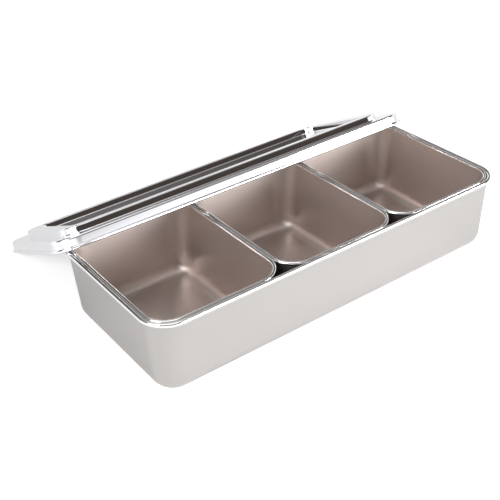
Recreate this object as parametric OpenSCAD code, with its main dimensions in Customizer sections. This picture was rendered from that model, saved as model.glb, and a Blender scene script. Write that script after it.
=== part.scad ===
// Stainless condiment tray with three lift-out pans and a loose stepped lid.
// The lid lies askew across the back of the tray: its far left corner stands on the table, its panel
// lies on the tray's rear rim and its near left corner lies on the rim of the tray's left end.
// Origin: centre of the tray's flat underside. X runs along the tray, Y to the back, Z up.

/* [Tray] */
// Length of the tray over its rolled rim
tray_l = 400; // [330:1:480]
// Width of the tray over its rolled rim
tray_w = 177.5; // [150:0.5:220]
// Height of the tray from the table to the top of the rim
tray_h = 79; // [60:0.5:110]
// Corner radius of the tray over the rim
tray_corner_r = 28; // [26:0.5:36]
// Thickness of the tray's sheet
tray_sheet = 0.8; // [0.6:0.05:1.2]
// Outer radius of the tray's rolled rim
tray_curl_r = 2; // [1.6:0.1:3]
// Lean of the tray's walls from upright, in degrees
tray_draft = 3.1; // [1:0.1:4]
// Outer radius where the tray's walls turn into its floor
tray_fillet_r = 16; // [8:0.5:16]

/* [Pans] */
// Corner radius of each pan over its rim
pan_corner_r = 25; // [24.5:0.5:32]
// Thickness of the pans' sheet
pan_sheet = 0.7; // [0.5:0.05:1]
// Outer radius of the pans' rolled rims
pan_curl_r = 1.7; // [1.4:0.1:2.4]
// Lean of the pans' walls from upright, in degrees
pan_draft = 3.6; // [3:0.1:6]
// Outer radius where the pans' walls turn into their floors
pan_fillet_r = 12; // [12:0.5:16]

/* [Lid] */
// Corner radius of the lid over its bead
lid_corner_r = 27; // [24:0.5:30]
// Thickness of the lid's sheet
lid_sheet = 0.8; // [0.6:0.05:1.2]
// Outer radius of the rolled bead round the lid's lower edge
lid_curl_r = 1.6; // [1.4:0.1:2.4]
// Height of the lid from the bottom of the bead to the flat ledge
lid_skirt_h = 11.5; // [9:0.5:16]
// Flare of the lid's skirt from upright, in degrees
lid_draft = 1; // [0:0.5:4]
// Outer radius where the lid's skirt turns into the ledge
lid_edge_r = 2; // [1.5:0.1:3]
// Width of the flat ledge along the lid's sides, from the skirt to the raised border
lid_ledge = 15; // [9:0.5:20]
// Corner radius round the outside of the raised border
border_corner_r = 26; // [22:0.5:30]
// Width of the raised border round the sunken panel
border_w = 16; // [10:0.5:18]
// Height of the border above the ledge and the panel
border_h = 6.2; // [4:0.1:9]
// Outer radius along the border's upper edges
border_edge_r = 1.6; // [1.2:0.1:2.5]
// Inner radius of the bends at the foot of the border
border_foot_r = 1.2; // [0.8:0.1:2]
// Turn of the lid from the tray's line, clockwise seen from above, in degrees
lid_yaw = 2.5; // [0:0.1:4]
// How much higher the lid's right end stands, in degrees
lid_roll = 1.7; // [0:0.1:3]
// How far the lid lies off the tray's middle, to the left
lid_shift = 1; // [-1:0.5:5]

/* [Clearances] */
// Gap between one pan's rim and the next, and from the rims to the tray's wall
pan_gap = 0.3; // [0.2:0.1:1]
// Depth of the pans' rims under the tray's rim
pan_rim_drop = 0.2; // [0:0.1:2]
// Gap under a piece that stands or lies on another
seat_gap = 0.3; // [0.2:0.1:0.6]
// Gap between the rim of the tray's left end and the lid's bead above it
lean_gap = 0.5; // [0.4:0.1:1]
// Gap between the tray's rim and the inside of the lid's skirt when the lid is shut
lid_clearance = 1.6; // [1:0.1:4]

/* [Hidden] */
$fn = 64;
pans = 3;
half_turn = 180;
right_angle = 90;
// Direction in which a rolled edge ends, counted round the roll from straight outwards
curl_end = 230;
// How far the roll runs into the wall below the point where it meets it, round the roll
curl_lap = 20;
// Margin by which a cutter passes the sheet that it cuts
cut_margin = 1;
// Flat land beyond each foot of the border, which lies in the plate
border_land = 1;

// The tray's inside at its rim, shared out among the pans
inside_l = tray_l - 4 * tray_curl_r;
inside_w = tray_w - 4 * tray_curl_r;
pan_l = (inside_l - (pans + 1) * pan_gap) / pans;
pan_w = inside_w - 2 * pan_gap;
pan_pitch = pan_l + pan_gap;
pan_foot_z = tray_sheet + seat_gap;
pan_h = tray_h - pan_rim_drop - pan_foot_z;

// The lid fits over the tray's rim when it is shut
lid_l = tray_l + 2 * (lid_clearance + 2 * lid_curl_r);
lid_w = tray_w + 2 * (lid_clearance + 2 * lid_curl_r);
panel_under = lid_skirt_h - lid_sheet;
border_foot_z = lid_sheet + border_foot_r;
border_top_z = lid_sheet + border_h;
border_inset = 2 * lid_curl_r - lid_sheet + lid_ledge;
border_l = lid_l - 2 * border_inset;
border_wid = lid_w - 2 * border_inset;

// Middle line of the lid's bead: halves to its corner centres, and the radius round them
bead_x = lid_l / 2 - lid_corner_r;
bead_y = lid_w / 2 - lid_corner_r;
bead_r = lid_corner_r - lid_curl_r;

// Middle line of the tray's rolled rim: its end, its back and its height
rim_end_x = tray_l / 2 - tray_curl_r;
rim_back_y = tray_w / 2 - tray_curl_r;
rim_z = tray_h - tray_curl_r;

// The bead's near left corner passes over the rim of the tray's left end at cross_x, cross_y,
// counted from the lid's middle. The lid leans as far as that crossing and the table allow.
lean_run = sqrt(1 - pow(tray_h / lid_w, 2));
yaw_swing = (bead_y + bead_r) * lean_run * sin(lid_yaw);
cross_x = rim_end_x - lid_shift - yaw_swing;
cross_y = bead_y + sqrt(pow(bead_r, 2) - pow(cross_x - bead_x, 2));
lean_rise = tray_h + lean_gap + (cross_x - bead_x) * sin(lid_roll);
lid_lean = asin(lean_rise / (cross_y + bead_y + bead_r) / cos(lid_roll));
slope = cos(lid_roll) * sin(lid_lean);
upright = cos(lid_roll) * cos(lid_lean);
lid_z = lid_curl_r * (1 - upright) + bead_x * sin(lid_roll) + bead_y * slope
    + bead_r * sqrt(pow(sin(lid_roll), 2) + pow(slope, 2));

// The underside of the lid's panel lies on the rolled rim at the tray's back, at its left end
panel_out = -sin(lid_roll) * cos(lid_lean);
normal_x = cos(lid_yaw) * panel_out + sin(lid_yaw) * sin(lid_lean);
normal_y = cos(lid_yaw) * sin(lid_lean) - sin(lid_yaw) * panel_out;
rest_x = (normal_x > 0 ? 1 : -1) * (tray_l / 2 - tray_corner_r);
lid_y = rim_back_y + (tray_curl_r + seat_gap - panel_under
    + (lid_shift + rest_x) * normal_x + (rim_z - lid_z) * upright) / normal_y;

// Halves of the plan to the corner centres, on a grid of hundredths so that the sweep's parts meet
function to_corner(length, r) = round(100 * (length / 2 - r)) / 100;

// Wedge of the plane between two directions less than half a turn apart
module wedge(reach, from, to) {
    polygon([[0, 0], reach * [cos(from), sin(from)], reach * [cos(to), sin(to)]]);
}

// Everything that lies inside one face of a dish: over its floor and bend, within its wall
module dish_inside(turn, bend_r, outward, wall_top, crown) {
    floor_z = turn[1] - bend_r;
    intersection() {
        translate(turn) circle(bend_r);
        translate([0, floor_z]) square(2 * bend_r + turn[0]);
    }
    polygon([[0, floor_z], [turn[0], floor_z], turn, turn + bend_r * outward, wall_top, crown]);
}

// Section of a drawn dish from its middle out: floor, bend, leaning wall and rolled edge.
// x is measured out from the corner's centre and the edge ends at x = r.
module dish_section(r, h, sheet, curl_r, draft, fillet_r) {
    roll = [r - curl_r, h - curl_r];
    outward = [cos(draft), -sin(draft)];
    upward = [sin(draft), cos(draft)];
    wall_out = roll - (curl_r - sheet) * outward;
    wall_in = roll - curl_r * outward + cut_margin * upward;
    turn_x = wall_out[0] + ((fillet_r - wall_out[1]) * sin(draft) - fillet_r) / cos(draft);
    turn = [turn_x, fillet_r];
    difference() {
        dish_inside(turn, fillet_r, outward, wall_out, [0, wall_out[1] + wall_out[0] * tan(draft)]);
        dish_inside(turn, fillet_r - sheet, outward, wall_in, [0, wall_in[1] + wall_in[0] * tan(draft)]);
    }
    translate(roll) difference() {
        circle(curl_r);
        circle(curl_r - sheet);
        wedge(2 * curl_r, half_turn - draft + curl_lap, curl_end);
    }
}

// Sweeps a section round a rectangle l by w whose corners have radius r.
// The section's x is measured out from the corner's centre.
module sweep_round(l, w, r) {
    for (q = [0:3]) {
        run = to_corner(q % 2 == 0 ? l : w, r);
        side = to_corner(q % 2 == 0 ? w : l, r);
        rotate([0, 0, right_angle * q]) translate([run, side, 0]) {
            rotate_extrude(angle = right_angle) children();
            rotate([right_angle, 0, 0]) linear_extrude(2 * side) children();
        }
    }
}

// Drawn dish of one sheet, standing on its floor, with an outward roll round its top
module dish(l, w, h, r, sheet, curl_r, draft, fillet_r) {
    sweep_round(l, w, r) dish_section(r, h, sheet, curl_r, draft, fillet_r);
    translate([-to_corner(l, r), -to_corner(w, r), 0])
        cube([2 * to_corner(l, r), 2 * to_corner(w, r), sheet]);
}

// Round of one bend at a foot of the border: a corner less a circle, on the side beyond x
module foot_corner(x, bend_r, base) {
    difference() {
        translate([x - bend_r / 2, base]) square([3 * bend_r / 2, border_foot_z - base]);
        translate([x + bend_r, border_foot_z]) circle(bend_r);
    }
}

// Upright block of the border's section from base to top with its upper edges rounded
module border_block(half_w, base, top, edge_r) {
    translate([-half_w, base]) square([2 * half_w, top - edge_r - base]);
    translate([edge_r - half_w, base]) square([2 * (half_w - edge_r), top - base]);
    for (side = [-1, 1]) translate([side * (half_w - edge_r), top - edge_r]) circle(edge_r);
}

// Section of the hollow border: a plate that bends up, runs level and bends down again.
// x = r at the outside of the outer wall, y = 0 at the underside of the plate.
module border_section(r) {
    half_w = border_w / 2;
    half_land = half_w + border_foot_r + border_land;
    translate([r - half_w, 0]) difference() {
        union() {
            translate([-half_land, 0]) square([2 * half_land, lid_sheet]);
            border_block(half_w, lid_sheet / 2, border_top_z, border_edge_r);
            for (flip = [0, 1]) mirror([flip, 0]) foot_corner(half_w, border_foot_r, lid_sheet / 2);
        }
        border_block(half_w - lid_sheet, -cut_margin, border_h, border_edge_r - lid_sheet);
        for (flip = [0, 1]) mirror([flip, 0])
            foot_corner(half_w - lid_sheet, border_foot_z, -cut_margin);
    }
}

// The flat plate where the border and its bends rise out of it
module border_cut_section(r) {
    translate([r - border_w - border_foot_r, -cut_margin])
        square([border_w + 2 * border_foot_r, lid_sheet + 2 * cut_margin]);
}

// The lid flat, as when it is shut, standing on its bead
module lid_flat() {
    translate([0, 0, lid_skirt_h]) difference() {
        mirror([0, 0, 1])
            dish(lid_l, lid_w, lid_skirt_h, lid_corner_r, lid_sheet, lid_curl_r, lid_draft, lid_edge_r);
        translate([0, 0, -lid_sheet])
            sweep_round(border_l, border_wid, border_corner_r) border_cut_section(border_corner_r);
    }
    translate([0, 0, panel_under])
        sweep_round(border_l, border_wid, border_corner_r) border_section(border_corner_r);
}

module pan(place) {
    translate([place * pan_pitch, 0, pan_foot_z])
        dish(pan_l, pan_w, pan_h, pan_corner_r, pan_sheet, pan_curl_r, pan_draft, pan_fillet_r);
}

module outer_tray() {
    color([0.82, 0.8, 0.79])
        dish(tray_l, tray_w, tray_h, tray_corner_r, tray_sheet, tray_curl_r, tray_draft, tray_fillet_r);
}

module pan_left() {
    color([0.7, 0.66, 0.64]) pan(-1);
}

module pan_middle() {
    color([0.74, 0.7, 0.68]) pan(0);
}

module pan_right() {
    color([0.7, 0.66, 0.64]) pan(1);
}

module lid() {
    color([0.9, 0.9, 0.93])
        translate([-lid_shift, lid_y, lid_z]) rotate([-lid_lean, -lid_roll, -lid_yaw]) lid_flat();
}

outer_tray();
pan_left();
pan_middle();
pan_right();
lid();
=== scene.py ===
"""A stainless condiment tray with three lift-out pans and a loose lid, in a plain white studio."""

import logging
import math
from dataclasses import dataclass
from enum import Enum
from typing import Dict, List, Sequence, Tuple

import bmesh
import bpy
import numpy as np
from mathutils import Matrix, Vector

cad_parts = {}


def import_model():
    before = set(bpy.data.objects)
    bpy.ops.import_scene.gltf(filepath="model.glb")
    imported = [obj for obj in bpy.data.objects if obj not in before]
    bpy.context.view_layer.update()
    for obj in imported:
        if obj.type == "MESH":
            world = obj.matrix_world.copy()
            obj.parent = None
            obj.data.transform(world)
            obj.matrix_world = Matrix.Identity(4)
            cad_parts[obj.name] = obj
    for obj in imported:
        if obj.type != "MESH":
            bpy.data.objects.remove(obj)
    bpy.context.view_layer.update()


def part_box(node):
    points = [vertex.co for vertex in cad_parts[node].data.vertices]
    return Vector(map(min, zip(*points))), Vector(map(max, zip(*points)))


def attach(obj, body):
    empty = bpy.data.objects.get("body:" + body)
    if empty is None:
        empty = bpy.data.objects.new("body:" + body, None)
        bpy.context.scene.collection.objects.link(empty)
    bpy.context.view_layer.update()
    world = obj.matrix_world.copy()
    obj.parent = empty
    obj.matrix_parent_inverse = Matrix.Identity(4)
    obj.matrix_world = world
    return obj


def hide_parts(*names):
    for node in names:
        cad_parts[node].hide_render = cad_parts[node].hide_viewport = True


LOG = logging.getLogger("condiment_tray")

Point = Tuple[float, float]
Spot = Tuple[float, float, float]
Colour = Tuple[float, float, float]

MM = 0.001

# Smoothness of the meshes: steps in a quarter turn of a corner, and the angle of one step in a bend
CORNER_STEPS = 20
BEND_STEP = math.radians(9)
LEAST_BEND_STEPS = 2
# Distance from a bend at which a further point holds a straight run flat
HOLD = 0.15 * MM
# How far a section runs on into the flat that it borders
LAP = 1 * MM
# Points up a dish's wall: each one's share of the run left above the point before it, and how
# polished it is, which also sets its painted highlight. The first holds the wall flat beside the
# floor's bend, the last two keep the rim crisp and start the painted highlight just below the roll
WALL_POINTS = ((0.01, 0.0), (0.5, 0.0), (0.97, 0.0), (0.99, 1.0))

# Attributes that the sections carry along the sweep, and the value above which a point is marked
SEAM = "seam"
# Points marked with this attribute get a lower roughness and a brighter colour, which is a painted
# highlight
POLISH_AND_HIGHLIGHT = "polish_and_highlight"
MARKED = 0.5

# Facets whose directions differ by less than this belong to one flat
FLAT_SPREAD = math.radians(0.5)
# Search for the lid's turn as seen from above: degrees either way, and tries to a degree
TURN_LIMIT = 8
TRIES_PER_DEGREE = 100

WHITE = (1.0, 1.0, 1.0)
# Brighter colour of the tray's and pans' polished rims: a painted highlight
PAINTED_EDGE_HIGHLIGHT = (0.9, 0.89, 0.88)


def opaque(colour: Colour) -> Tuple[float, float, float, float]:
    """Adds full opacity to a colour."""
    return (*colour, 1.0)


class Slot(Enum):
    """The pieces' material slots."""

    TRAY = "tray_steel"
    PAN = "pan_steel"
    LID = "lid_steel"


@dataclass(frozen=True)
class SteelFinish:
    """Stainless steel with a satin body and polished edges, which carry a painted highlight.

    Attributes:
        name: The material's name.
        body: Colour of the body's reflection.
        painted_edge_highlight: Colour of the polished edges' reflection; where brighter than the
            body's, a painted highlight.
        body_roughness: Roughness of the body.
        edge_roughness: Roughness of the polished edges.
        wave_height: Height of the broad waves that pressing leaves, in metres.
        wave_size: Number of those waves to a metre.
        grain_height: Height of the fine grain of the surface, in metres.
        grain_stretch: Number of the grain's lumps to a metre along X, Y and Z.
        bloom: How much the roughness varies over the sheet.
        wave_detail: Finer layers of noise in the waves.
        grain_detail: Finer layers of noise in the grain.
        bloom_span: The part of the grain's noise over which the roughness varies.
    """

    name: str
    body: Colour
    painted_edge_highlight: Colour
    body_roughness: float
    edge_roughness: float
    wave_height: float
    wave_size: float
    grain_height: float
    grain_stretch: Spot
    bloom: float
    wave_detail: float = 1.0
    grain_detail: float = 4.0
    bloom_span: Tuple[float, float] = (0.3, 0.7)

    def material(self) -> bpy.types.Material:
        """Builds the node material of this finish.

        Returns:
            The material.
        """
        mat = bpy.data.materials.new(self.name)
        mat.use_nodes = True
        nodes, links = mat.node_tree.nodes, mat.node_tree.links
        shader = nodes["Principled BSDF"]
        shader.inputs["Metallic"].default_value = 1.0
        coords = nodes.new("ShaderNodeTexCoord")
        polish_and_highlight = nodes.new("ShaderNodeAttribute")
        polish_and_highlight.attribute_name = POLISH_AND_HIGHLIGHT

        stretch = nodes.new("ShaderNodeMapping")
        stretch.inputs["Scale"].default_value = self.grain_stretch
        links.new(coords.outputs["Object"], stretch.inputs["Vector"])
        grain = nodes.new("ShaderNodeTexNoise")
        grain.inputs["Scale"].default_value = 1.0
        grain.inputs["Detail"].default_value = self.grain_detail
        links.new(stretch.outputs["Vector"], grain.inputs["Vector"])
        waves = nodes.new("ShaderNodeTexNoise")
        waves.inputs["Scale"].default_value = self.wave_size
        waves.inputs["Detail"].default_value = self.wave_detail
        links.new(coords.outputs["Object"], waves.inputs["Vector"])

        # Mix of the body's colour and the polished rims' colour by the attribute: the brighter rim
        # colour is a painted highlight, beside the rims' real lower roughness
        colour = nodes.new("ShaderNodeMix")
        colour.data_type = "RGBA"
        colour.inputs["A"].default_value = opaque(self.body)
        colour.inputs["B"].default_value = opaque(self.painted_edge_highlight)
        links.new(polish_and_highlight.outputs["Fac"], colour.inputs["Factor"])
        links.new(colour.outputs["Result"], shader.inputs["Base Color"])

        cloud = nodes.new("ShaderNodeMapRange")
        cloud.inputs["From Min"].default_value = self.bloom_span[0]
        cloud.inputs["From Max"].default_value = self.bloom_span[1]
        cloud.inputs["To Min"].default_value = self.body_roughness - self.bloom
        cloud.inputs["To Max"].default_value = self.body_roughness + self.bloom
        links.new(grain.outputs["Fac"], cloud.inputs["Value"])
        gloss = nodes.new("ShaderNodeMix")
        gloss.data_type = "FLOAT"
        gloss.inputs["B"].default_value = self.edge_roughness
        links.new(polish_and_highlight.outputs["Fac"], gloss.inputs["Factor"])
        links.new(cloud.outputs["Result"], gloss.inputs["A"])
        links.new(gloss.outputs["Result"], shader.inputs["Roughness"])

        broad = nodes.new("ShaderNodeBump")
        broad.inputs["Distance"].default_value = self.wave_height
        links.new(waves.outputs["Fac"], broad.inputs["Height"])
        fine = nodes.new("ShaderNodeBump")
        fine.inputs["Distance"].default_value = self.grain_height
        links.new(grain.outputs["Fac"], fine.inputs["Height"])
        links.new(broad.outputs["Normal"], fine.inputs["Normal"])
        links.new(fine.outputs["Normal"], shader.inputs["Normal"])
        return mat


def finishes() -> Dict[Slot, SteelFinish]:
    """Names the three finishes.

    Returns:
        The finishes by slot.
    """
    return {
        # Tray and pans: their polished rims take a brighter colour, a painted highlight; the lid's
        # rims keep the body's colour
        Slot.TRAY: SteelFinish(
            "satin_tray_steel", body=(0.46, 0.446, 0.435), painted_edge_highlight=PAINTED_EDGE_HIGHLIGHT,
            body_roughness=0.29, edge_roughness=0.08, wave_height=0.2 * MM, wave_size=14.0,
            grain_height=0.0004 * MM, grain_stretch=(900.0, 900.0, 90.0), bloom=0.015),
        Slot.PAN: SteelFinish(
            "satin_pan_steel", body=(0.665, 0.595, 0.56), painted_edge_highlight=PAINTED_EDGE_HIGHLIGHT,
            body_roughness=0.42, edge_roughness=0.08, wave_height=0.2 * MM, wave_size=18.0,
            grain_height=0.0004 * MM, grain_stretch=(700.0, 700.0, 90.0), bloom=0.015),
        Slot.LID: SteelFinish(
            "polished_lid_steel", body=(0.88, 0.88, 0.9), painted_edge_highlight=(0.88, 0.88, 0.9),
            body_roughness=0.08, edge_roughness=0.05, wave_height=0.08 * MM, wave_size=8.0,
            grain_height=0.0001 * MM, grain_stretch=(300.0, 300.0, 300.0), bloom=0.01),
    }


class Section:
    """Middle line of a pressed sheet: straight runs, bends of a true radius and a roll."""

    def __init__(self) -> None:
        """Starts an empty section."""
        self.points: List[Point] = []
        self.polish_and_highlight: List[float] = []

    def add(self, x: float, z: float, polish_and_highlight: float = 0.0) -> None:
        """Adds one point."""
        self.points.append((x, z))
        self.polish_and_highlight.append(polish_and_highlight)

    def arc(self, centre: Point, radius: float, start: float, end: float,
            polish_and_highlight: float = 0.0) -> None:
        """Adds an arc.

        Args:
            centre: The arc's centre.
            radius: The arc's radius.
            start: Direction of its first point, in radians.
            end: Direction of its last point, in radians.
            polish_and_highlight: How polished the arc is, from 0 to 1, which also sets its painted
                highlight.
        """
        steps = max(LEAST_BEND_STEPS, math.ceil(abs(end - start) / BEND_STEP))
        for i in range(steps + 1):
            turn = start + (end - start) * i / steps
            x, z = centre[0] + radius * math.cos(turn), centre[1] + radius * math.sin(turn)
            self.add(x, z, polish_and_highlight)

    def bend(self, before: Point, corner: Point, after: Point, radius: float) -> None:
        """Adds the round of a corner.

        Args:
            before: A point on the run that leads to the corner.
            corner: Where the two runs would meet.
            after: A point on the run that leaves it.
            radius: Radius of the bend's middle line.
        """
        at, a, b = Vector(corner), Vector(before), Vector(after)
        to_a, to_b = (a - at).normalized(), (b - at).normalized()
        half = to_a.angle(to_b) / 2
        centre = at + (to_a + to_b).normalized() * radius / math.sin(half)
        first = at + to_a * radius / math.tan(half) - centre
        last = at + to_b * radius / math.tan(half) - centre
        start = math.atan2(first.y, first.x)
        sweep = (math.atan2(last.y, last.x) - start + math.pi) % math.tau - math.pi
        # A point just outside each end keeps the straight runs flat under smooth shading
        self.add(*(centre + first + to_a * HOLD))
        self.arc((centre.x, centre.y), radius, start, start + sweep)
        self.add(*(centre + last + to_b * HOLD))

    def polish_and_highlight_all(self) -> None:
        """Polishes every point so far, which also gives it the painted highlight colour."""
        self.polish_and_highlight = [1.0] * len(self.points)


class SweepTree:
    """Geometry Nodes tree that sweeps a section round a rectangle with round corners."""

    NAME = "Section round a rectangle"

    def __init__(self) -> None:
        """Builds the tree with its named inputs."""
        self.group = bpy.data.node_groups.new(self.NAME, "GeometryNodeTree")
        face = self.group.interface
        face.new_socket("Geometry", in_out="INPUT", socket_type="NodeSocketGeometry")
        for name in ("Length", "Width", "Corner radius"):
            face.new_socket(name, in_out="INPUT", socket_type="NodeSocketFloat")
        face.new_socket("Corner steps", in_out="INPUT", socket_type="NodeSocketInt")
        face.new_socket("Material", in_out="INPUT", socket_type="NodeSocketMaterial")
        face.new_socket("Geometry", in_out="OUTPUT", socket_type="NodeSocketGeometry")
        self._wire()

    def _wire(self) -> None:
        """Adds the nodes: path, section, sweep, realised and with its material."""
        nodes, links = self.group.nodes, self.group.links
        given = nodes.new("NodeGroupInput")
        result = nodes.new("NodeGroupOutput")
        outline = nodes.new("GeometryNodeCurvePrimitiveQuadrilateral")
        rounded = nodes.new("GeometryNodeFilletCurve")
        rounded.mode = "POLY"
        level = nodes.new("GeometryNodeSetCurveNormal")
        level.mode = "Z_UP"
        section = nodes.new("GeometryNodeMeshToCurve")
        sweep = nodes.new("GeometryNodeCurveToMesh")
        real = nodes.new("GeometryNodeRealizeInstances")
        dress = nodes.new("GeometryNodeSetMaterial")
        links.new(given.outputs["Length"], outline.inputs["Width"])
        links.new(given.outputs["Width"], outline.inputs["Height"])
        links.new(outline.outputs["Curve"], rounded.inputs["Curve"])
        links.new(given.outputs["Corner radius"], rounded.inputs["Radius"])
        links.new(given.outputs["Corner steps"], rounded.inputs["Count"])
        links.new(rounded.outputs["Curve"], level.inputs["Curve"])
        links.new(given.outputs["Geometry"], section.inputs["Mesh"])
        links.new(level.outputs["Curve"], sweep.inputs["Curve"])
        links.new(section.outputs["Curve"], sweep.inputs["Profile Curve"])
        links.new(sweep.outputs["Mesh"], real.inputs["Geometry"])
        links.new(real.outputs["Geometry"], dress.inputs["Geometry"])
        links.new(given.outputs["Material"], dress.inputs["Material"])
        links.new(dress.outputs["Geometry"], result.inputs["Geometry"])

    def run(self, section: Section, seams: Sequence[int], length: float, width: float,
            radius: float, material: bpy.types.Material) -> bpy.types.Mesh:
        """Sweeps a section.

        Args:
            section: The section, whose x is measured out from the corners' centres.
            seams: Indices of the section's points that border a flat to be filled.
            length: Length of the rectangle.
            width: Width of the rectangle.
            radius: Radius of its corners.
            material: The sheet's material.

        Returns:
            The swept mesh, open at both ends of the section.
        """
        # The sweep lays a section's x outward and its y downward
        spots = [(x - radius, -z, 0.0) for x, z in section.points]
        mesh = bpy.data.meshes.new("section")
        mesh.from_pydata(spots, [(i, i + 1) for i in range(len(spots) - 1)], [])
        marks = mesh.attributes.new(SEAM, "FLOAT", "POINT")
        for i in seams:
            marks.data[i].value = 1.0
        # How polished each point is, which the material also turns into a painted highlight
        polish_and_highlight_layer = mesh.attributes.new(POLISH_AND_HIGHLIGHT, "FLOAT", "POINT")
        for i, value in enumerate(section.polish_and_highlight):
            polish_and_highlight_layer.data[i].value = value
        holder = bpy.data.objects.new("section", mesh)
        bpy.context.scene.collection.objects.link(holder)
        sweep = holder.modifiers.new("sweep", "NODES")
        sweep.node_group = self.group
        sockets = self.group.interface.items_tree
        ids = {s.name: s.identifier for s in sockets if s.in_out == "INPUT"}
        sweep[ids["Length"]] = float(length)
        sweep[ids["Width"]] = float(width)
        sweep[ids["Corner radius"]] = float(radius)
        sweep[ids["Corner steps"]] = CORNER_STEPS
        sweep[ids["Material"]] = material
        swept = plain_mesh(holder)
        bpy.data.objects.remove(holder)
        return swept


def plain_mesh(obj: bpy.types.Object) -> bpy.types.Mesh:
    """Turns an object's evaluated shape into a mesh of its own.

    Args:
        obj: An object with modifiers.

    Returns:
        The mesh that the modifiers make.
    """
    bpy.context.view_layer.update()
    graph = bpy.context.evaluated_depsgraph_get()
    return bpy.data.meshes.new_from_object(obj.evaluated_get(graph), depsgraph=graph)


def fill_flats(model: bmesh.types.BMesh) -> None:
    """Fills the flats between the edge loops that are marked as seams.

    Args:
        model: The swept sheets, whose seams are all level.
    """
    mark = model.verts.layers.float[SEAM]
    rim = [e for e in model.edges if e.is_boundary and all(v[mark] > MARKED for v in e.verts)]
    bmesh.ops.triangle_fill(model, use_beauty=True, use_dissolve=False, edges=rim,
                            normal=(0.0, 0.0, 1.0))


def pressed_sheet(name: str, parts: Sequence[bpy.types.Mesh], thickness: float,
                  place: Matrix, material: bpy.types.Material) -> bpy.types.Object:
    """Joins swept meshes into one sheet, fills its flats and gives it its thickness.

    Args:
        name: Name of the piece.
        parts: The swept meshes of the sheet's middle.
        thickness: The sheet's thickness.
        place: Where the piece lies.
        material: The sheet's material.

    Returns:
        The finished piece, with its place in its mesh.
    """
    model = bmesh.new()
    for part in parts:
        model.from_mesh(part)
    fill_flats(model)
    bmesh.ops.recalc_face_normals(model, faces=model.faces)
    if sum(f.normal.z * f.calc_area() for f in model.faces) < 0:
        bmesh.ops.reverse_faces(model, faces=model.faces)
    mesh = bpy.data.meshes.new(name)
    model.to_mesh(mesh)
    model.free()
    holder = bpy.data.objects.new(name + "_middle", mesh)
    bpy.context.scene.collection.objects.link(holder)
    wall = holder.modifiers.new("thickness", "SOLIDIFY")
    wall.thickness = thickness
    wall.offset = 0.0
    wall.use_even_offset = True
    solid = plain_mesh(holder)
    bpy.data.objects.remove(holder)
    solid.name = name
    solid.transform(place)
    solid.materials.clear()
    solid.materials.append(material)
    solid.shade_smooth()
    piece = bpy.data.objects.new(name, solid)
    bpy.context.scene.collection.objects.link(piece)
    return piece


@dataclass
class SheetPiece:
    """A piece pressed from one sheet, which stands for one CAD node.

    Attributes:
        node: The CAD node that it stands for.
        body: The body that it rides on.
        slot: The piece's material slot.
        sheet: Thickness of the sheet.
    """

    node: str
    body: str
    slot: Slot
    sheet: float

    def hand_over(self, parts: Sequence[bpy.types.Mesh], place: Matrix,
                  material: bpy.types.Material) -> bpy.types.Object:
        """Makes the piece from its swept parts, sets it on its body and hides its CAD node.

        Args:
            parts: The swept meshes of the sheet's middle.
            place: Where the piece lies.
            material: The piece's material.

        Returns:
            The piece.
        """
        piece = pressed_sheet(self.node + "_steel", parts, self.sheet, place, material)
        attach(piece, self.body)
        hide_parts(self.node)
        return piece


@dataclass
class DrawnDish(SheetPiece):
    """A dish drawn from one sheet, with leaning walls and an outward roll round its top.

    Attributes:
        corner_r: Corner radius over the roll.
        curl_r: Outer radius of the roll.
        draft: Lean of the walls from upright.
        fillet_r: Outer radius of the bend between walls and floor.
        curl_end: Direction in which the roll ends, counted from straight outwards.
    """

    corner_r: float
    curl_r: float
    draft: float
    fillet_r: float
    curl_end: float = math.radians(-130)

    def section(self, height: float) -> Section:
        """Draws the middle line from the floor out.

        Args:
            height: Height of the dish.

        Returns:
            The section, whose first point borders the floor.
        """
        half = self.sheet / 2
        roll = Vector((self.corner_r - self.curl_r, height - self.curl_r))
        outward = Vector((math.cos(self.draft), -math.sin(self.draft)))
        top = roll - (self.curl_r - half) * outward
        bend_r = self.fillet_r - half
        spread = (top.y - self.fillet_r) * math.sin(self.draft)
        turn_x = top.x - (spread + bend_r) / math.cos(self.draft)
        line = Section()
        line.add(turn_x - LAP, half)
        line.arc((turn_x, self.fillet_r), bend_r, -math.pi / 2, -self.draft)
        # The top of the wall and the roll are polished and painted brighter: a painted highlight
        for share, polish_and_highlight in WALL_POINTS:
            low = Vector(line.points[-1])
            line.add(*(low + (top - low) * share), polish_and_highlight=polish_and_highlight)
        line.arc(tuple(roll), self.curl_r - half, math.pi - self.draft, self.curl_end, polish_and_highlight=1.0)
        return line

    def build(self, tree: SweepTree, material: bpy.types.Material) -> bpy.types.Object:
        """Builds the dish where its node lies.

        Args:
            tree: The sweeping tree.
            material: The dish's material.

        Returns:
            The piece.
        """
        low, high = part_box(self.node)
        size, middle = high - low, (high + low) / 2
        swept = tree.run(self.section(size.z), [0], size.x, size.y, self.corner_r, material)
        place = Matrix.Translation((middle.x, middle.y, low.z))
        return self.hand_over([swept], place, material)


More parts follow.
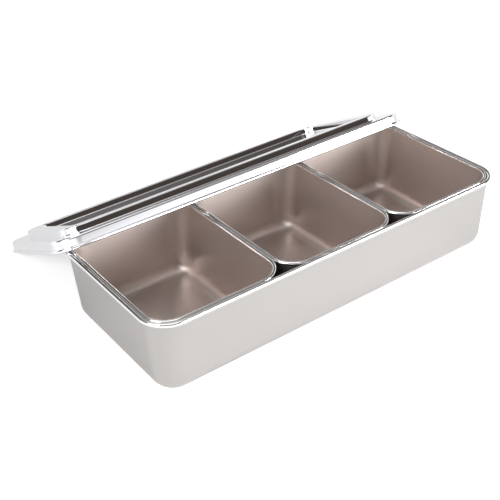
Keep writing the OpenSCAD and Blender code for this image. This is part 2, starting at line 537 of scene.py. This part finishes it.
@dataclass
class LeaningPose:
    """Where the lid lies, read from the CAD node.

    Attributes:
        matrix: Takes the flat lid, standing on its bead at the origin, to where it lies.
        length: Length of the lid over its bead.
        width: Width of the lid over its bead.
    """

    matrix: Matrix
    length: float
    width: float

    @classmethod
    def of_node(cls, node: str) -> "LeaningPose":
        """Finds the pose of a lid from its largest flat and its outline.

        Args:
            node: The lid's CAD node.

        Returns:
            The pose.
        """
        mesh = bpy.data.objects[node].data
        spots = np.array([v.co for v in mesh.vertices])
        areas = np.array([p.area for p in mesh.polygons])
        normals = np.array([p.normal for p in mesh.polygons])
        normals[normals[:, 2] < 0] *= -1
        flat = normals[areas.argmax()]
        near = normals @ flat > math.cos(FLAT_SPREAD)
        up = Vector((normals[near] * areas[near, None]).sum(0)).normalized()
        # The lid's own axes are those in which the rectangle round its outline is smallest
        best = None
        last_try = TURN_LIMIT * TRIES_PER_DEGREE
        for step in range(-last_try, last_try + 1):
            turn = math.radians(step / TRIES_PER_DEGREE)
            along = Vector((math.cos(turn), math.sin(turn), 0.0))
            along = (along - up * along.dot(up)).normalized()
            across = up.cross(along)
            spans = spots @ np.array([along, across, up]).T
            size = np.ptp(spans, axis=0)
            if best is None or size[0] * size[1] < best[0]:
                best = (size[0] * size[1], along, across, spans.min(0), spans.max(0))
        _, along, across, low, high = best
        centre = along * (low[0] + high[0]) / 2 + across * (low[1] + high[1]) / 2 + up * low[2]
        turned = Matrix((along, across, up)).transposed().to_4x4()
        matrix = Matrix.Translation(centre) @ turned
        return cls(matrix, float(high[0] - low[0]), float(high[1] - low[1]))


@dataclass
class SteppedLid(SheetPiece):
    """The pressed lid: bead, skirt, ledge, raised hollow border and sunken panel.

    Attributes:
        corner_r: Corner radius over the bead.
        curl_r: Outer radius of the bead.
        skirt_h: Height from the bottom of the bead to the ledge.
        skirt_draft: Flare of the skirt from upright.
        edge_r: Outer radius between skirt and ledge.
        ledge: Width of the flat ledge.
        border_corner_r: Corner radius round the border.
        border_w: Width of the border at its foot.
        border_h: Height of the border.
        border_lean: Lean of the border's walls from upright.
        border_edge_r: Outer radius along the border's upper edges.
        border_foot_r: Inner radius of the bends at its foot.
        curl_end: Direction in which the bead ends, counted from straight outwards.
    """

    node: str = "lid"
    body: str = "lid"
    slot: Slot = Slot.LID
    sheet: float = 0.8 * MM
    corner_r: float = 27 * MM
    curl_r: float = 1.6 * MM
    skirt_h: float = 11.5 * MM
    skirt_draft: float = math.radians(1)
    edge_r: float = 2 * MM
    ledge: float = 15 * MM
    border_corner_r: float = 26 * MM
    border_w: float = 16 * MM
    border_h: float = 6.2 * MM
    border_lean: float = math.radians(6)
    border_edge_r: float = 1.1 * MM
    border_foot_r: float = 0.6 * MM
    curl_end: float = math.radians(130)

    def skirt(self) -> Section:
        """Draws the ledge's outer part, the skirt and the bead.

        Returns:
            The section, whose first point borders the ledge.
        """
        half = self.sheet / 2
        roll = Vector((self.corner_r - self.curl_r, self.curl_r))
        outward = Vector((math.cos(self.skirt_draft), math.sin(self.skirt_draft)))
        foot = roll - (self.curl_r - half) * outward
        level = self.skirt_h - half
        rise = level - foot.y
        corner = (foot.x - rise * math.tan(self.skirt_draft), level)
        line = Section()
        line.add(corner[0] - self.edge_r - LAP, level)
        line.bend((corner[0] - self.edge_r, level), corner, tuple(foot), self.edge_r - half)
        line.add(*(foot + (Vector(corner) - foot).normalized() * HOLD))
        line.arc(tuple(roll), self.curl_r - half, math.pi + self.skirt_draft,
                 math.tau + self.curl_end)
        line.polish_and_highlight_all()
        return line

    def border(self) -> Section:
        """Draws the border: up from the ledge, level, and down to the panel.

        Returns:
            The section, whose first and last points border flats.
        """
        half = self.sheet / 2
        low, high = self.skirt_h - half, self.skirt_h - half + self.border_h
        out_x = self.border_corner_r - half
        in_x = self.border_corner_r - self.border_w + half
        lean = self.border_h * math.tan(self.border_lean)
        reach = self.border_foot_r + self.sheet + LAP
        keys = [(out_x + reach, low), (out_x, low), (out_x - lean, high),
                (in_x + lean, high), (in_x, low), (in_x - reach, low)]
        radii = [self.border_foot_r + half, self.border_edge_r - half,
                 self.border_edge_r - half, self.border_foot_r + half]
        line = Section()
        line.add(*keys[0])
        for i, radius in enumerate(radii):
            line.bend(keys[i], keys[i + 1], keys[i + 2], radius)
        line.add(*keys[-1])
        line.polish_and_highlight_all()
        return line

    def build(self, tree: SweepTree, material: bpy.types.Material) -> bpy.types.Object:
        """Builds the lid where its node lies.

        Args:
            tree: The sweeping tree.
            material: The lid's material.

        Returns:
            The piece.
        """
        pose = LeaningPose.of_node(self.node)
        LOG.info("lid %.1f by %.1f mm", pose.length / MM, pose.width / MM)
        skirt = tree.run(self.skirt(), [0], pose.length, pose.width, self.corner_r, material)
        inset = 2 * (2 * self.curl_r - self.sheet + self.ledge)
        border = self.border()
        ends = [0, len(border.points) - 1]
        raised = tree.run(border, ends, pose.length - inset, pose.width - inset,
                          self.border_corner_r, material)
        return self.hand_over([skirt, raised], pose.matrix, material)


@dataclass(frozen=True)
class SoftBox:
    """A rectangular soft lamp.

    Attributes:
        name: The lamp's name.
        place: Where it hangs.
        aim: Where it points.
        size: Its two sides.
        power: Its power in watts.
    """

    name: str
    place: Spot
    aim: Spot
    size: Point
    power: float

    def hang(self) -> None:
        """Adds the lamp to the scene."""
        data = bpy.data.lights.new(self.name, "AREA")
        data.shape = "RECTANGLE"
        data.size, data.size_y = self.size
        data.energy = self.power
        box = bpy.data.objects.new(self.name, data)
        turn = (Vector(self.aim) - Vector(self.place)).to_track_quat("-Z", "Y")
        box.matrix_world = Matrix.Translation(self.place) @ turn.to_matrix().to_4x4()
        bpy.context.scene.collection.objects.link(box)


@dataclass
class Studio:
    """White sweep, soft light and the camera at the photograph's angle.

    Attributes:
        place: Where the camera stands.
        azimuth: Direction in which it looks, clockwise from the back of the tray.
        elevation: How far down it looks.
        roll: Its turn about the line of sight.
        lens: Its focal length in millimetres.
        sensor: Width of its sensor in millimetres.
        sight: How far it sees.
        floor_half: Half a side of the square floor.
        floor_drop: Depth of the floor below the tray's underside.
        paper: Colour of the floor.
        paper_lift: Light added to the floor for the camera alone, so that it shows white.
        room: Tones that the metal mirrors, by the upward part of a direction: 0 is level or
            downward, 1 is straight up.
        lamps: The soft boxes: one overhead, one that lights the left end, and a low one that
            reaches the pans' back walls.
    """

    place: Spot = (-0.46329, -0.60158, 0.51860)
    azimuth: float = math.radians(34.8)
    elevation: float = math.radians(32.67)
    roll: float = math.radians(-2.78)
    lens: float = 66.82
    sensor: float = 36.0
    sight: float = 50.0
    floor_half: float = 4.0
    floor_drop: float = 0.2 * MM
    paper: Colour = (0.9, 0.9, 0.9)
    paper_lift: float = 0.45
    room: Tuple[Tuple[float, Colour], ...] = (
        (0.0, (1.15, 1.15, 1.18)),
        (0.365, (1.15, 1.15, 1.18)),
        (0.4, (0.06, 0.048, 0.042)),
        (0.6, (0.06, 0.05, 0.045)),
        (0.74, (0.28, 0.27, 0.27)),
        (1.0, (0.5, 0.49, 0.49)),
    )
    lamps: Tuple[SoftBox, ...] = (
        SoftBox("overhead_box", (-0.2, 0.1, 1.7), aim=(0.0, 0.0, 0.0), size=(1.6, 1.2), power=6.0),
        SoftBox("left_box", (-1.6, -0.3, 0.9), aim=(-0.3, 0.0, 0.0), size=(0.9, 0.9), power=22.0),
        SoftBox("front_box", (0.72, -1.26, 0.36), aim=(0.0, 0.0, 0.08), size=(1.2, 0.5), power=48.0),
    )

    def camera(self) -> None:
        """Places the camera."""
        level = Vector((math.cos(self.azimuth), -math.sin(self.azimuth), 0.0))
        ahead = Vector((math.sin(self.azimuth) * math.cos(self.elevation),
                        math.cos(self.azimuth) * math.cos(self.elevation),
                        -math.sin(self.elevation)))
        upright = level.cross(ahead)
        right = math.cos(self.roll) * level + math.sin(self.roll) * upright
        up = math.cos(self.roll) * upright - math.sin(self.roll) * level
        data = bpy.data.cameras.new("camera")
        data.lens = self.lens
        data.sensor_width = self.sensor
        data.clip_end = self.sight
        eye = bpy.data.objects.new("camera", data)
        turned = Matrix((right, up, -ahead)).transposed().to_4x4()
        eye.matrix_world = Matrix.Translation(self.place) @ turned
        bpy.context.scene.collection.objects.link(eye)
        bpy.context.scene.camera = eye

    def floor(self) -> None:
        """Lays the pale floor, which shows white to the camera and keeps the shadow."""
        mesh = bpy.data.meshes.new("floor")
        h = self.floor_half
        mesh.from_pydata([(-h, -h, 0), (h, -h, 0), (h, h, 0), (-h, h, 0)], [], [(0, 1, 2, 3)])
        mesh.transform(Matrix.Translation((0, 0, -self.floor_drop)))
        floor = bpy.data.objects.new("floor", mesh)
        bpy.context.scene.collection.objects.link(floor)
        mat = bpy.data.materials.new("white_sweep")
        mat.use_nodes = True
        nodes, links = mat.node_tree.nodes, mat.node_tree.links
        nodes.remove(nodes["Principled BSDF"])
        paper = nodes.new("ShaderNodeBsdfDiffuse")
        paper.inputs["Color"].default_value = opaque(self.paper)
        glow = nodes.new("ShaderNodeEmission")
        glow.inputs["Color"].default_value = opaque(WHITE)
        ray = nodes.new("ShaderNodeLightPath")
        lift = nodes.new("ShaderNodeMath")
        lift.operation = "MULTIPLY"
        lift.inputs[1].default_value = self.paper_lift
        both = nodes.new("ShaderNodeAddShader")
        links.new(ray.outputs["Is Camera Ray"], lift.inputs[0])
        links.new(lift.outputs["Value"], glow.inputs["Strength"])
        links.new(paper.outputs["BSDF"], both.inputs[0])
        links.new(glow.outputs["Emission"], both.inputs[1])
        links.new(both.outputs["Shader"], nodes["Material Output"].inputs["Surface"])
        mesh.materials.append(mat)

    def world(self) -> None:
        """Surrounds the object: white to the camera, a lit sweep low down, a dark room above."""
        world = bpy.data.worlds.new("studio")
        bpy.context.scene.world = world
        world.use_nodes = True
        nodes, links = world.node_tree.nodes, world.node_tree.links
        back = nodes["Background"]
        where = nodes.new("ShaderNodeTexCoord")
        axes = nodes.new("ShaderNodeSeparateXYZ")
        links.new(where.outputs["Generated"], axes.inputs["Vector"])
        ramp = nodes.new("ShaderNodeValToRGB")
        stops = ramp.color_ramp.elements
        stops.remove(stops[-1])
        stops[0].position, stops[0].color = self.room[0][0], opaque(self.room[0][1])
        for height, tone in self.room[1:]:
            stops.new(height).color = opaque(tone)
        links.new(axes.outputs["Z"], ramp.inputs["Fac"])
        ray = nodes.new("ShaderNodeLightPath")
        seen = nodes.new("ShaderNodeMix")
        seen.data_type = "RGBA"
        seen.inputs["B"].default_value = opaque(WHITE)
        links.new(ray.outputs["Is Camera Ray"], seen.inputs["Factor"])
        links.new(ramp.outputs["Color"], seen.inputs["A"])
        links.new(seen.outputs["Result"], back.inputs["Color"])

    def build(self) -> None:
        """Sets up the whole studio."""
        self.camera()
        self.floor()
        self.world()
        for lamp in self.lamps:
            lamp.hang()
        bpy.context.scene.view_settings.view_transform = "Standard"


def main() -> None:
    """Builds the pieces in order and reports each."""
    logging.basicConfig(level=logging.INFO, format="%(name)s: %(message)s")
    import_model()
    Studio().build()
    tree = SweepTree()
    steels = {slot: finish.material() for slot, finish in finishes().items()}
    tray = DrawnDish("outer_tray", "tray", Slot.TRAY, sheet=0.8 * MM, corner_r=28 * MM,
                     curl_r=2 * MM, draft=math.radians(3.1), fillet_r=16 * MM)
    pans = [DrawnDish(name, name, Slot.PAN, sheet=0.7 * MM, corner_r=25 * MM,
                      curl_r=1.7 * MM, draft=math.radians(3.6), fillet_r=12 * MM)
            for name in ("pan_left", "pan_middle", "pan_right")]
    pieces = [part.build(tree, steels[part.slot]) for part in (tray, *pans, SteppedLid())]
    for piece in pieces:
        LOG.info("%s: %d faces", piece.name, len(piece.data.polygons))


if __name__ == "__main__":
    main()
